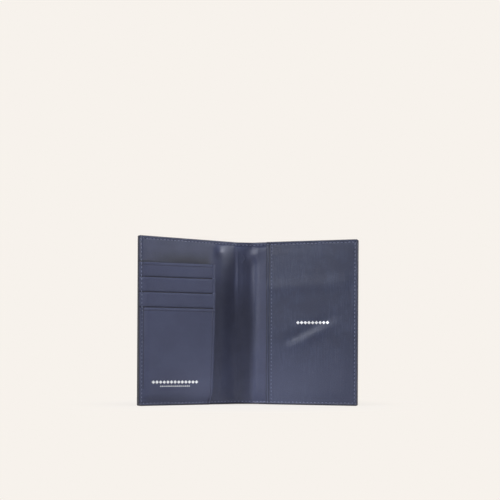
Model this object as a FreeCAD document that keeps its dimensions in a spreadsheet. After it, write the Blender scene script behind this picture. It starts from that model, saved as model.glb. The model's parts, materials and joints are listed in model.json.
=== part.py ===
import FreeCAD
import Part
import Sketcher
import os

# A leather passport holder, standing half open on its bottom edge like a book. Millimetres.
# +X runs from the spine to the passport cover, +Z is up, and the inside is read looking along +Y.
# The origin is the middle of the spine leather's bottom edge.
# Every piece is drawn flat, in the holder laid fully open, and its Placement then turns it
# about its cover's fold line, and about the card flap's own fold line, into the rest pose.

DIMENSIONS = [
    ("holder_height", 140.0, "height of the spine and of both covers"),
    ("spine_width", 12.0, "width of the spine between the two fold lines"),
    ("cover_width", 93.0, "one cover, from its fold line to its outer edge"),
    ("corner_radius", 1.2, "outer corners of the covers"),
    ("rest_angle", 23.5, "turn of each cover from flat, at rest, in degrees"),
    ("fold_gap", 0.25, "from a fold line to the solids beside it"),
    ("fold_depth", 0.5, "the fold axis in front of the lining"),
    ("outer_leather", 1.2, "thickness of the outer leather"),
    ("stiffener", 0.8, "thickness of the bonded board, and of the tape in the spine"),
    ("lining", 0.8, "thickness of the lining leather"),
    ("seam_margin", 2.3, "from an edge to the middle of its seam"),
    ("thread_width", 0.5, "width of a seam's thread"),
    ("thread_rise", 0.25, "how far a seam's thread stands above the leather"),
    ("pocket_width", 79.4, "passport pocket, from its mouth to the outer edge"),
    ("pocket_leather", 0.9, "thickness of the passport pocket's panel"),
    ("pocket_seam", 3.4, "width of the passport pocket's sewn border"),
    ("pocket_gap", 0.4, "from the sewn border to the panel's solid"),
    ("pocket_clearance", 0.2, "from the lining to the hem, when the panel lies flat"),
    ("hem_width", 8.0, "turned hem behind the passport pocket's mouth"),
    ("hem_leather", 0.5, "thickness of that hem"),
    ("hem_seam", 4.7, "from the passport pocket's mouth to the seam that holds the hem"),
    ("panel_width", 65.5, "card panel, from the outer edge to its free side"),
    ("panel_height", 118.5, "card panel, from the bottom edge to its top"),
    ("panel_seam", 2.6, "width of the card panel's sewn border"),
    ("panel_leather", 2.0, "skived leathers pressed together in that border"),
    ("flap_angle", 9.5, "lift of the card flap from its cover, at rest, in degrees"),
    ("flap_start", 0.6, "from the flap's fold line to its solids"),
    ("flap_bottom", 0.4, "from the sewn border up to the flap's solids"),
    ("flap_clearance", 0.3, "from the lining to the flap, when it lies flat"),
    ("backing", 0.5, "thickness of the flap's backing leather"),
    ("slot_cloth", 0.2, "thickness of the cloth that hangs below a slot band"),
    ("slot_leather", 0.6, "thickness of a slot band"),
    ("slot_pitch", 12.5, "height of a slot band that shows"),
    ("slot_overlap", 3.0, "height of a slot band behind the next one"),
    ("slot_depth", 79.5, "from a slot's mouth to the end of its cloth"),
    ("turned_width", 2.3, "width of the flap's turned border, at its free side and foot"),
    ("front_leather", 0.8, "thickness of the front card pocket"),
    ("foil_rise", 0.06, "thickness of the stamped foil"),
    ("lozenge_radius", 1.5, "centre to corner of a large foil lozenge"),
    ("lozenge_pitch", 3.2, "spacing of the large lozenges"),
    ("dot_radius", 0.75, "centre to corner of a small foil lozenge"),
    ("dot_pitch", 1.8, "spacing of the small lozenges"),
    ("mark_drop", 3.3, "from the row of large lozenges down to the small ones"),
    ("card_mark_height", 19.5, "height of the large row on the front card pocket"),
    ("card_mark_across", 28.3, "from the sewn border to the middle of both rows there"),
    ("passport_mark_height", 70.2, "height of the row on the passport pocket"),
    ("passport_mark_across", 41.0, "from the passport pocket's mouth to that row's middle"),
]

SLOTS = 3
CARD_LOZENGES = 13
CARD_DOTS = 15
PASSPORT_LOZENGES = 9
UP = FreeCAD.Vector(0, 0, 1)
LEFT = -1
RIGHT = 1


def make_sheet(doc):
    """The driving dimensions, one to a row: name, value, meaning."""
    sheet = doc.addObject("Spreadsheet::Sheet", "Dims")
    for row, (alias, value, meaning) in enumerate(DIMENSIONS, start=1):
        sheet.set(f"A{row}", alias)
        sheet.set(f"B{row}", str(value))
        sheet.set(f"C{row}", meaning)
        sheet.setAlias(f"B{row}", alias)
    doc.recompute()
    return sheet


class Holder:
    """The document, its sheet, and the pieces made so far."""

    def __init__(self):
        self.doc = FreeCAD.newDocument("PassportHolder")
        self.sheet = make_sheet(self.doc)
        self.pieces = []

    def size(self, alias):
        """One driving dimension as a number."""
        return float(self.sheet.get(alias))

    def number(self, words):
        """An expression of driving dimensions as a number."""
        return float(self.sheet.evalExpression(bound(words)))

    def keep(self, piece, label, frame, corner):
        """Names a finished piece and puts its own origin at a corner of a rest frame."""
        piece.Label = label
        piece.Placement = frame.multiply(FreeCAD.Placement(corner, FreeCAD.Rotation()))
        self.pieces.append(piece)
        return piece


def bound(words):
    """Puts the sheet's name before every driving dimension in an expression."""
    names = {alias for alias, _, _ in DIMENSIONS}
    return " ".join(f"Dims.{word}" if word in names else word for word in words.split())


# ---------------------------------------------------------------- rest frames


def lining_face(holder):
    """Y of the lining's inner face, with the spine leather centred on Y = 0."""
    layers = holder.number("outer_leather + stiffener + lining")
    return holder.size("outer_leather") / 2 - layers


def cover_frame(holder, side):
    """A cover turned towards the reader about its fold line, in front of the lining."""
    fold_x = side * holder.size("spine_width") / 2
    fold_y = lining_face(holder) - holder.size("fold_depth")
    turn = FreeCAD.Rotation(UP, -side * holder.size("rest_angle"))
    return FreeCAD.Placement(FreeCAD.Vector(), turn, FreeCAD.Vector(fold_x, fold_y, 0))


def outer_edge(holder, side):
    """X of a cover's outer edge, laid flat."""
    return side * holder.number("spine_width / 2 + cover_width")


def flap_fold(holder):
    """The card flap's fold line, on the lining beside the left seam, laid flat."""
    fold_x = outer_edge(holder, LEFT) + holder.size("panel_seam")
    return FreeCAD.Vector(fold_x, lining_face(holder), 0)


def flap_frame(holder):
    """The card flap lifted from the left cover about its own fold line."""
    lift = FreeCAD.Rotation(UP, -holder.size("flap_angle"))
    lifted = FreeCAD.Placement(FreeCAD.Vector(), lift, flap_fold(holder))
    return cover_frame(holder, LEFT).multiply(lifted)


# ---------------------------------------------------------------- ways of making a piece


def hold_corner(sketch, line, corner):
    """Holds the start of a line at its expressions for X and Z."""
    axes = (("DistanceX", -2, corner[0]), ("DistanceY", -1, corner[1]))
    for kind, axis, words in axes:
        if words == "0":
            sketch.addConstraint(Sketcher.Constraint("PointOnObject", line, 1, axis))
            continue
        value = float(sketch.evalExpression(bound(words)))
        index = sketch.addConstraint(Sketcher.Constraint(kind, -1, 1, line, 1, value))
        sketch.setExpression(f"Constraints[{index}]", bound(words))


def add_outline(body, name, corners):
    """A closed outline on the body's own XZ plane, its corners given as expressions."""
    sketch = body.newObject("Sketcher::SketchObject", name)
    plane = next(f for f in body.Origin.OriginFeatures if f.Role == "XZ_Plane")
    sketch.AttachmentSupport = [(plane, "")]
    sketch.MapMode = "FlatFace"
    points = []
    for across, upward in corners:
        x = float(sketch.evalExpression(bound(across)))
        z = float(sketch.evalExpression(bound(upward)))
        points.append(FreeCAD.Vector(x, z, 0))
    count = len(points)
    for i in range(count):
        sketch.addGeometry(Part.LineSegment(points[i], points[(i + 1) % count]))
    for i in range(count):
        sketch.addConstraint(Sketcher.Constraint("Coincident", i, 2, (i + 1) % count, 1))
    for i in range(count):
        hold_corner(sketch, i, corners[i])
    return sketch


def add_pad(body, sketch, thickness):
    """Thickens an outline towards the reader."""
    pad = body.newObject("PartDesign::Pad", "Leather")
    pad.Profile = sketch
    pad.setExpression("Length", bound(thickness))
    return pad


def round_corners(holder, body, base, places):
    """Rounds the corners of a flat piece that stand at the given (X, Z) places."""
    holder.doc.recompute()
    wanted = [(holder.number(x), holder.number(z)) for x, z in places]
    names = []
    for index, edge in enumerate(base.Shape.Edges, start=1):
        ends = [vertex.Point for vertex in edge.Vertexes]
        along_y = (ends[0] - ends[-1]).Length > 0 and abs(ends[0].y - ends[-1].y) > 1e-6
        for x, z in wanted:
            here = all(abs(p.x - x) < 1e-6 and abs(p.z - z) < 1e-6 for p in ends)
            if along_y and here:
                names.append(f"Edge{index}")
    fillet = body.newObject("PartDesign::Fillet", "Corners")
    fillet.Base = (base, names)
    fillet.setExpression("Radius", bound("corner_radius"))
    return fillet


def rectangle(width, height):
    """The corners of a rectangle that stands on its own origin."""
    return [("0", "0"), (width, "0"), (width, height), ("0", height)]


def cut_leather(holder, name, corners, thickness, rounded=()):
    """A flat piece cut to an outline, its own origin at the outline's lower left, at the back."""
    body = holder.doc.addObject("PartDesign::Body", name)
    pad = add_pad(body, add_outline(body, "Outline", corners), thickness)
    if rounded:
        round_corners(holder, body, pad, rounded)
    return body


def add_bar(holder, name, sizes, corner=(0, 0, 0)):
    """A plain bar, its sizes along X, Y and Z as expressions, its own origin at the front."""
    bar = holder.doc.addObject("Part::Box", name)
    for side, words in zip(("Length", "Width", "Height"), sizes):
        bar.setExpression(side, bound(words))
    bar.Placement.Base = FreeCAD.Vector(*corner)
    return bar


def join_bars(holder, name, bars):
    """Several bars as one piece."""
    joined = holder.doc.addObject("Part::MultiFuse", name)
    joined.Shapes = bars
    return joined


# ---------------------------------------------------------------- spine and covers


def layer_back(holder, layer):
    """Y of the back of a layer: 0 is the outer leather, 1 the stiffener, 2 the lining."""
    stack = ("outer_leather", "stiffener", "lining")
    return holder.size("outer_leather") / 2 - sum(holder.size(n) for n in stack[:layer])


def make_spine(holder):
    """The three layers of the spine, which bend between the fold lines."""
    width = "spine_width - 2 * fold_gap"
    left = -holder.number("spine_width / 2 - fold_gap")
    layers = (
        ("spine_outer_leather", "outer_leather"),
        ("spine_reinforcement", "stiffener"),
        ("spine_lining", "lining"),
    )
    for index, (label, thickness) in enumerate(layers):
        piece = cut_leather(holder, label, rectangle(width, "holder_height"), thickness)
        corner = FreeCAD.Vector(left, layer_back(holder, index), 0)
        holder.keep(piece, label, FreeCAD.Placement(), corner)


def make_cover(holder, side):
    """The outer leather, the stiffener and the lining of one cover."""
    word = "left" if side == LEFT else "right"
    width = "cover_width - fold_gap"
    outer_x = "0" if side == LEFT else width
    rounded = [(outer_x, "0"), (outer_x, "holder_height")]
    near = holder.number("spine_width / 2 + fold_gap")
    left = outer_edge(holder, LEFT) if side == LEFT else near
    layers = (
        (f"{word}_outer_leather", "outer_leather"),
        (f"{word}_stiffener", "stiffener"),
        (f"{word}_lining", "lining"),
    )
    for index, (label, thickness) in enumerate(layers):
        outline = rectangle(width, "holder_height")
        piece = cut_leather(holder, label, outline, thickness, rounded)
        corner = FreeCAD.Vector(left, layer_back(holder, index), 0)
        holder.keep(piece, label, cover_frame(holder, side), corner)


# ---------------------------------------------------------------- seams


class SeamPlan:
    """Where the seams run, laid flat: heights, and X beside the edges and the folds."""

    def __init__(self, holder):
        half = holder.size("thread_width") / 2
        margin = holder.size("seam_margin")
        self.low = margin - half
        self.high = holder.size("holder_height") - margin - half
        self.right = outer_edge(holder, RIGHT) - margin - half
        self.left = outer_edge(holder, LEFT) + margin - half
        self.fold = holder.number("spine_width / 2 + fold_gap")
        self.inside = lining_face(holder) - holder.size("thread_rise")
        self.outside = holder.size("outer_leather") / 2


def rows_of_thread(holder, name, y, runs):
    """Level and upright runs of thread in one plane: each (X, Z, length along X, along Z)."""
    bars = []
    for index, (x, z, across, upward) in enumerate(runs):
        sizes = (across, "thread_rise", upward)
        bars.append(add_bar(holder, f"{name}_run{index}", sizes, (x, y, z)))
    return join_bars(holder, name, bars)


def make_spine_threads(holder, plan):
    """The seam along the top and the bottom of the spine, on both faces."""
    width = "spine_width - 2 * fold_gap"
    left = -holder.number("spine_width / 2 - fold_gap")
    runs = [(left, z, width, "thread_width") for z in (plan.low, plan.high)]
    for label, y in (("spine_inside_thread", plan.inside), ("spine_outside_thread", plan.outside)):
        piece = rows_of_thread(holder, label, y, runs)
        holder.keep(piece, label, FreeCAD.Placement(), FreeCAD.Vector())


def make_outside_thread(holder, plan, side):
    """The seam round three sides of a cover, as it shows on the outer leather."""
    label = "left_outside_thread" if side == LEFT else "right_outside_thread"
    across = "cover_width - fold_gap - seam_margin + thread_width / 2"
    upward = "holder_height - 2 * seam_margin + thread_width"
    start = plan.left if side == LEFT else plan.fold
    upright = plan.left if side == LEFT else plan.right
    runs = [
        (start, plan.low, across, "thread_width"),
        (start, plan.high, across, "thread_width"),
        (upright, plan.low, "thread_width", upward),
    ]
    piece = rows_of_thread(holder, label, plan.outside, runs)
    holder.keep(piece, label, cover_frame(holder, side), FreeCAD.Vector())


def make_left_inside_thread(holder, plan):
    """The seam on the left lining: along the top, down to the card panel, and beyond its foot."""
    across = "cover_width - fold_gap - seam_margin + thread_width / 2"
    upward = "holder_height - panel_height - seam_margin + thread_width / 2"
    beyond = "cover_width - fold_gap - panel_width"
    panel_end = outer_edge(holder, LEFT) + holder.size("panel_width")
    runs = [
        (plan.left, plan.high, across, "thread_width"),
        (plan.left, holder.size("panel_height"), "thread_width", upward),
        (panel_end, plan.low, beyond, "thread_width"),
    ]
    piece = rows_of_thread(holder, "left_inside_thread", plan.inside, runs)
    holder.keep(piece, "left_inside_thread", cover_frame(holder, LEFT), FreeCAD.Vector())


def make_right_inside_thread(holder, plan):
    """The short seams on the right lining, between the fold and the passport pocket."""
    across = "cover_width - fold_gap - pocket_width"
    runs = [(plan.fold, z, across, "thread_width") for z in (plan.low, plan.high)]
    piece = rows_of_thread(holder, "right_inside_thread", plan.inside, runs)
    holder.keep(piece, "right_inside_thread", cover_frame(holder, RIGHT), FreeCAD.Vector())


# ---------------------------------------------------------------- passport pocket


def pocket_mouth(holder):
    """X of the passport pocket's mouth, laid flat."""
    return outer_edge(holder, RIGHT) - holder.size("pocket_width")


POCKET_FRONT = "pocket_clearance + hem_leather + pocket_leather"
PANEL_WIDTH = "pocket_width - pocket_seam - pocket_gap"
PANEL_HEIGHT = "holder_height - 2 * ( pocket_seam + pocket_gap )"


def make_pocket_border(holder):
    """The pocket's top, outer side and bottom, where its leather is sewn to the cover."""
    label = "passport_pocket_sewn_border"
    inner_x = "pocket_width - pocket_seam"
    outline = [
        ("0", "0"),
        ("pocket_width", "0"),
        ("pocket_width", "holder_height"),
        ("0", "holder_height"),
        ("0", "holder_height - pocket_seam"),
        (inner_x, "holder_height - pocket_seam"),
        (inner_x, "pocket_seam"),
        ("0", "pocket_seam"),
    ]
    rounded = [("pocket_width", "0"), ("pocket_width", "holder_height")]
    piece = cut_leather(holder, label, outline, POCKET_FRONT, rounded)
    corner = FreeCAD.Vector(pocket_mouth(holder), lining_face(holder), 0)
    holder.keep(piece, label, cover_frame(holder, RIGHT), corner)


def make_pocket_panel(holder):
    """The pocket's panel inside its seams, free to lift at its mouth beside the spine."""
    outline = rectangle(PANEL_WIDTH, PANEL_HEIGHT)
    piece = cut_leather(holder, "passport_pocket_panel", outline, "pocket_leather")
    back = lining_face(holder) - holder.number("pocket_clearance + hem_leather")
    corner = FreeCAD.Vector(pocket_mouth(holder), back, holder.number("pocket_seam + pocket_gap"))
    holder.keep(piece, "passport_pocket_panel", cover_frame(holder, RIGHT), corner)


def make_pocket_hem(holder):
    """The strip turned back behind the pocket's mouth."""
    outline = rectangle("hem_width", PANEL_HEIGHT)
    piece = cut_leather(holder, "passport_pocket_hem", outline, "hem_leather")
    back = lining_face(holder) - holder.size("pocket_clearance")
    corner = FreeCAD.Vector(pocket_mouth(holder), back, holder.number("pocket_seam + pocket_gap"))
    holder.keep(piece, "passport_pocket_hem", cover_frame(holder, RIGHT), corner)


def make_pocket_thread(holder, plan):
    """The seam round the pocket's three sewn sides."""
    label = "passport_pocket_thread"
    across = "pocket_width - seam_margin + thread_width / 2"
    upward = "holder_height - 2 * seam_margin + thread_width"
    front = plan.inside - holder.number(POCKET_FRONT)
    mouth = pocket_mouth(holder)
    runs = [
        (mouth, plan.low, across, "thread_width"),
        (mouth, plan.high, across, "thread_width"),
        (plan.right, plan.low, "thread_width", upward),
    ]
    piece = rows_of_thread(holder, label, front, runs)
    holder.keep(piece, label, cover_frame(holder, RIGHT), FreeCAD.Vector())


def make_hem_thread(holder, plan):
    """The upright seam beside the pocket's mouth, which holds the hem."""
    label = "passport_pocket_hem_thread"
    thread = add_bar(holder, label + "_run", ("thread_width", "thread_rise", PANEL_HEIGHT))
    x = pocket_mouth(holder) + holder.number("hem_seam - thread_width / 2")
    front = plan.inside - holder.number(POCKET_FRONT)
    corner = FreeCAD.Vector(x, front, holder.number("pocket_seam + pocket_gap"))
    holder.keep(thread, label, cover_frame(holder, RIGHT), corner)


# ---------------------------------------------------------------- card panel and flap


def make_sewn_border(holder):
    """The card panel's left and bottom border, where its leathers are sewn to the cover."""
    label = "card_panel_sewn_border"
    outline = [
        ("0", "0"),
        ("panel_width", "0"),
        ("panel_width", "panel_seam"),
        ("panel_seam", "panel_seam"),
        ("panel_seam", "panel_height"),
        ("0", "panel_height"),
    ]
    piece = cut_leather(holder, label, outline, "panel_leather", [("0", "0")])
    corner = FreeCAD.Vector(outer_edge(holder, LEFT), lining_face(holder), 0)
    holder.keep(piece, label, cover_frame(holder, LEFT), corner)


def make_border_thread(holder, plan):
    """The seam up the card panel's left side and along its foot."""
    label = "card_panel_thread"
    across = "panel_width - seam_margin + thread_width / 2"
    upward = "panel_height - seam_margin + thread_width / 2"
    runs = [
        (plan.left, plan.low, across, "thread_width"),
        (plan.left, plan.low, "thread_width", upward),
    ]
    piece = rows_of_thread(holder, label, plan.inside - holder.size("panel_leather"), runs)
    holder.keep(piece, label, cover_frame(holder, LEFT), FreeCAD.Vector())


FLAP_WIDTH = "panel_width - panel_seam - flap_start"
SLOT_WIDTH = FLAP_WIDTH + " - turned_width"
SLOT_LAYERS = f"{SLOTS} * ( slot_cloth + slot_leather )"
FLAP_FOOT = "panel_seam + flap_bottom"


def keep_on_flap(holder, piece, label, stack, height, across="flap_start"):
    """Puts a piece on the card flap: its own origin lies on the stack behind it."""
    x = flap_fold(holder).x + holder.number(across)
    y = lining_face(holder) - holder.number(f"flap_clearance + {stack}")
    corner = FreeCAD.Vector(x, y, holder.number(height))
    holder.keep(piece, label, flap_frame(holder), corner)


def make_backing(holder):
    """The leather behind the slots, which closes the slip pocket behind the flap."""
    height = "panel_height - panel_seam - flap_bottom"
    piece = cut_leather(holder, "flap_backing", rectangle(FLAP_WIDTH, height), "backing")
    keep_on_flap(holder, piece, "flap_backing", "0", FLAP_FOOT)


def make_turned_border(holder):
    """The turned leather that closes the slots along the flap's free side and its foot."""
    label = "flap_turned_border"
    height = "panel_height - panel_seam - flap_bottom"
    outline = [
        ("0", "0"),
        (FLAP_WIDTH, "0"),
        (FLAP_WIDTH, height),
        (SLOT_WIDTH, height),
        (SLOT_WIDTH, "turned_width"),
        ("0", "turned_width"),
    ]
    piece = cut_leather(holder, label, outline, SLOT_LAYERS)
    keep_on_flap(holder, piece, label, "backing", FLAP_FOOT)


def slot_mouth(index):
    """The height of a slot's mouth; index 0 is the highest slot."""
    return f"panel_height - {index} * slot_pitch"


def make_slot(holder, index):
    """One card slot: a leather band, and the cloth that hangs from it to the slot's end."""
    behind_band = f"backing + {index} * ( slot_cloth + slot_leather ) + slot_cloth"
    cloth_label = f"slot_{index + 1}_cloth"
    cloth_sizes = (SLOT_WIDTH, "slot_cloth", "slot_depth - slot_pitch")
    cloth = add_bar(holder, cloth_label + "_sheet", cloth_sizes)
    cloth_end = f"{slot_mouth(index)} - slot_depth"
    keep_on_flap(holder, cloth, cloth_label, behind_band, cloth_end)
    band_label = f"slot_{index + 1}_leather"
    outline = rectangle(SLOT_WIDTH, "slot_pitch + slot_overlap")
    band = cut_leather(holder, band_label, outline, "slot_leather")
    band_end = f"{slot_mouth(index)} - slot_pitch - slot_overlap"
    keep_on_flap(holder, band, band_label, behind_band, band_end)


def make_cloth_threads(holder):
    """The row of thread along the end of each slot's cloth."""
    bars = []
    for index in range(SLOTS):
        bar = add_bar(holder, f"cloth_run{index}", (SLOT_WIDTH, "thread_rise", "thread_width"))
        level = f"{index} * ( slot_cloth + slot_leather )"
        bar.setExpression("Placement.Base.y", bound(f"- ( {level} )"))
        bar.setExpression("Placement.Base.z", bound(f"- ( {index} * slot_pitch )"))
        bars.append(bar)
    piece = join_bars(holder, "cloth_runs", bars)
    front_of_cloth = "backing + slot_cloth + thread_rise"
    height = "panel_height - slot_depth + thread_width"
    keep_on_flap(holder, piece, "slot_cloth_threads", front_of_cloth, height)


def make_front_pocket(holder):
    """The large card pocket in front, open at its top."""
    label = "front_card_pocket"
    height = f"panel_height - {SLOTS} * slot_pitch - panel_seam - flap_bottom"
    piece = cut_leather(holder, label, rectangle(FLAP_WIDTH, height), "front_leather")
    keep_on_flap(holder, piece, label, f"backing + {SLOT_LAYERS}", FLAP_FOOT)


# ---------------------------------------------------------------- stamped foil


def add_lozenges(holder, name, count, radius, pitch, height):
    """A level row of foil lozenges, centred on X = 0."""
    row = []
    facing = FreeCAD.Rotation(FreeCAD.Vector(1, 0, 0), 90)
    for index in range(count):
        lozenge = holder.doc.addObject("Part::Prism", f"{name}{index}")
        lozenge.Polygon = 4
        lozenge.setExpression("Circumradius", bound(radius))
        lozenge.setExpression("Height", bound("foil_rise"))
        x = (index - (count - 1) / 2) * holder.size(pitch)
        lozenge.Placement = FreeCAD.Placement(FreeCAD.Vector(x, 0, height), facing)
        row.append(lozenge)
    return row


def group_foil(holder, name, lozenges):
    """Separate lozenges as one piece of foil work."""
    group = holder.doc.addObject("Part::Compound", name)
    group.Links = lozenges
    return group


def make_card_mark(holder):
    """Two rows of foil low on the front card pocket, near its middle."""
    large = add_lozenges(holder, "card_lozenge", CARD_LOZENGES, "lozenge_radius", "lozenge_pitch", 0)
    drop = -holder.size("mark_drop")
    small = add_lozenges(holder, "card_dot", CARD_DOTS, "dot_radius", "dot_pitch", drop)
    piece = group_foil(holder, "card_mark", large + small)
    front = f"backing + {SLOT_LAYERS} + front_leather"
    keep_on_flap(
        holder, piece, "card_pocket_foil_mark", front, "card_mark_height", "card_mark_across"
    )


def make_passport_mark(holder):
    """One row of foil at mid height on the passport pocket."""
    row = add_lozenges(
        holder, "passport_lozenge", PASSPORT_LOZENGES, "lozenge_radius", "lozenge_pitch", 0
    )
    piece = group_foil(holder, "passport_mark", row)
    x = pocket_mouth(holder) + holder.size("passport_mark_across")
    y = lining_face(holder) - holder.number(POCKET_FRONT)
    corner = FreeCAD.Vector(x, y, holder.size("passport_mark_height"))
    holder.keep(piece, "passport_pocket_foil_mark", cover_frame(holder, RIGHT), corner)


def make_all(holder):
    """Every piece of the holder."""
    plan = SeamPlan(holder)
    make_spine(holder)
    make_spine_threads(holder, plan)
    for side in (LEFT, RIGHT):
        make_cover(holder, side)
        make_outside_thread(holder, plan, side)
    make_left_inside_thread(holder, plan)
    make_right_inside_thread(holder, plan)
    make_pocket_border(holder)
    make_pocket_panel(holder)
    make_pocket_hem(holder)
    make_pocket_thread(holder, plan)
    make_hem_thread(holder, plan)
    make_sewn_border(holder)
    make_border_thread(holder, plan)
    make_backing(holder)
    make_turned_border(holder)
    for index in range(SLOTS):
        make_slot(holder, index)
    make_cloth_threads(holder)
    make_front_pocket(holder)
    make_card_mark(holder)
    make_passport_mark(holder)


def check_pieces(holder):
    """Stops if an object failed, or a piece's shape is missing or broken."""
    holder.doc.recompute()
    for item in holder.doc.Objects:
        if "Invalid" in item.State or "Error" in item.State:
            raise RuntimeError(f"{item.Label} is {item.State}")
    for piece in holder.pieces:
        if piece.Shape.isNull() or not piece.Shape.isValid() or piece.Shape.Volume <= 0:
            raise RuntimeError(f"{piece.Label} has no sound shape")


def export_pieces(holder):
    """Writes one STEP file for each piece."""
    os.makedirs("parts", exist_ok=True)
    for piece in holder.pieces:
        piece.Shape.exportStep(f"parts/{piece.Label}.step")
        box = piece.Shape.BoundBox
        spans = (box.XMin, box.XMax, box.YMin, box.YMax, box.ZMin, box.ZMax)
        print(piece.Label, round(piece.Shape.Volume, 2), [round(s, 2) for s in spans])


holder = Holder()
make_all(holder)
check_pieces(holder)
export_pieces(holder)
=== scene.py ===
import json
import math

import bpy
import numpy as np
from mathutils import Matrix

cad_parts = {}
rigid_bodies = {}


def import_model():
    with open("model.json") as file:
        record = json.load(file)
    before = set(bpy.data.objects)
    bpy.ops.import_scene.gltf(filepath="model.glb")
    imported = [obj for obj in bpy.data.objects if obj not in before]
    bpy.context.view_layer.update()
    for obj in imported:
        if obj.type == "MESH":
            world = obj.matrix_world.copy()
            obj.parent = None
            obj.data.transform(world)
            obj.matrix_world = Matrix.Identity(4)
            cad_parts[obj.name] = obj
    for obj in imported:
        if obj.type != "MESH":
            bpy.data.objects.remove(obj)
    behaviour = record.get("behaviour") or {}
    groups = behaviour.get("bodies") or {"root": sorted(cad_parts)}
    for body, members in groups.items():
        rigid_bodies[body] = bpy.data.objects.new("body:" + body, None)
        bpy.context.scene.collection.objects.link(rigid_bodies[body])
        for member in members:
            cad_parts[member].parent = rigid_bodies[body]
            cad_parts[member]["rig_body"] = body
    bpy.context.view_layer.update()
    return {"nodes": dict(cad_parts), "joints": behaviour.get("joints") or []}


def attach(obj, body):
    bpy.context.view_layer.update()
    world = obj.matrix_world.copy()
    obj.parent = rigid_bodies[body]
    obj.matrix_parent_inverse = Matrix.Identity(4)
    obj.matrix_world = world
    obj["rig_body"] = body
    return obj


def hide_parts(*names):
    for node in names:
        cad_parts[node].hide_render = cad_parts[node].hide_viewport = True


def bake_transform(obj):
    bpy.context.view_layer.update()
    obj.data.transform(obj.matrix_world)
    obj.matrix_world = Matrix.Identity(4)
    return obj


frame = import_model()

# A leather passport holder, standing half open like a book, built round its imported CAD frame.

MM = 0.001
LEFT, RIGHT = -1, 1


# ---------------- what the frame says


def smooth(share):
    """An even ramp from 0 to 1, level at both ends."""
    t = np.clip(share, 0, 1)
    return t * t * (3 - 2 * t)


def turn(points, pivot, degrees):
    """Points turned about the upright axis through pivot; degrees may differ by point."""
    a = np.radians(degrees)
    x, y = points[:, 0] - pivot[0], points[:, 1] - pivot[1]
    turned_x = x * np.cos(a) - y * np.sin(a) + pivot[0]
    turned_y = x * np.sin(a) + y * np.cos(a) + pivot[1]
    return np.stack([turned_x, turned_y, points[:, 2]], 1)


def joint(name):
    return next(j for j in frame["joints"] if j["name"] == name)


def joint_place(name):
    return np.array([joint(name)["pos_m"]]) / MM


LEFT_FOLD = joint_place("left_cover_fold")[0]
RIGHT_FOLD = joint_place("right_cover_fold")[0]
REST_ANGLE = -joint("left_cover_fold")["range_deg"][0]
FLAP_ANGLE = -joint("card_flap_lift")["range_deg"][0]
FLAP_FOLD = turn(joint_place("card_flap_lift"), LEFT_FOLD, -REST_ANGLE)[0]


def flat_box(node):
    """Lowest and highest corner of a CAD node in the holder laid flat, in millimetres."""
    points = np.array([v.co for v in frame["nodes"][node].data.vertices]) / MM
    body = frame["nodes"][node]["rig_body"]
    if body in ("left_cover", "card_flap"):
        points = turn(points, LEFT_FOLD, -REST_ANGLE)
    if body == "card_flap":
        points = turn(points, FLAP_FOLD, FLAP_ANGLE)
    if body in ("right_cover", "passport_pocket"):
        points = turn(points, RIGHT_FOLD, REST_ANGLE)
    return points.min(0), points.max(0)


HEIGHT = flat_box("spine_lining")[1][2]
EDGE = flat_box("right_lining")[1][0]
FACE = flat_box("spine_lining")[0][1]
LINING_BACK = flat_box("spine_lining")[1][1]
BOARD_BACK = flat_box("left_stiffener")[1][1]
OUTSIDE = flat_box("spine_outer_leather")[1][1]
LINING = LINING_BACK - FACE
THREAD_HALF = 0.25  # half the width of the frame's seam threads
SEAM_IN = EDGE - flat_box("passport_pocket_thread")[1][0] + THREAD_HALF
POCKET_MOUTH = flat_box("passport_pocket_panel")[0][0]
HEM_SEAM = sum(flat_box("passport_pocket_hem_thread")[side][0] for side in (0, 1)) / 2
POCKET_GAP = 0.4  # in the frame, between the pocket's sewn border and its panel
POCKET_SEAM = HEIGHT - flat_box("passport_pocket_panel")[1][2] - POCKET_GAP
POCKET_RISE = FACE - flat_box("passport_pocket_panel")[0][1]
PANEL_EDGE = flat_box("front_card_pocket")[1][0]
BORDER_START = flat_box("slot_1_leather")[1][0]
SLOTS = ("slot_1", "slot_2", "slot_3")
MOUTHS = [flat_box(f"{slot}_leather")[1][2] for slot in SLOTS]
POCKET_TOP = flat_box("front_card_pocket")[1][2]
BAND_RISE = [FACE - flat_box(f"{slot}_leather")[0][1] for slot in SLOTS]
FRONT_RISE = FACE - flat_box("front_card_pocket")[0][1]
BACKING_RISE = FACE - flat_box("flap_backing")[0][1]
CORNER = 1.2  # radius of the covers' outer corners
FOLD_REACH = 4.5  # the leather bends this far to each side of a fold
SIDES = ((LEFT, "left"), (RIGHT, "right"))


def fold_share(x):
    """How far a place has turned with its cover: 0 on the spine, 1 past the fold."""
    near = abs(LEFT_FOLD[0]) - FOLD_REACH
    return smooth((np.abs(x) - near) / (2 * FOLD_REACH))


# height, and the share of the card flap's lift that is reached there
FLAP_SHAPE = ((0.0, 0.0), (2.5, 0.0), (6.0, 0.16), (13.0, 0.36), (28.0, 0.5), (46.0, 0.65),
              (68.0, 0.86), (84.0, 0.97), (100.0, 1.0), (140.0, 1.0))
FLAP_EVENED_FROM = 9.0
FLAP_EVENING = np.linspace(-3, 3, 7)


def flap_share(z):
    """How far the card flap has lifted at a height: its foot is sewn down."""
    heights, shares = zip(*FLAP_SHAPE)
    above = z > FLAP_EVENED_FROM
    evened = [np.interp(z + step * above, heights, shares) for step in FLAP_EVENING]
    return sum(evened) / len(evened)


def to_rest(points, on_flap=False):
    """Flat places bent into the rest pose."""
    share, side = fold_share(points[:, 0]), np.sign(points[:, 0])
    if on_flap:
        points = turn(points, FLAP_FOLD, -FLAP_ANGLE * flap_share(points[:, 2]))
    points = turn(points, LEFT_FOLD, np.where(side < 0, REST_ANGLE * share, 0))
    return turn(points, RIGHT_FOLD, np.where(side > 0, -REST_ANGLE * share, 0))


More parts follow.
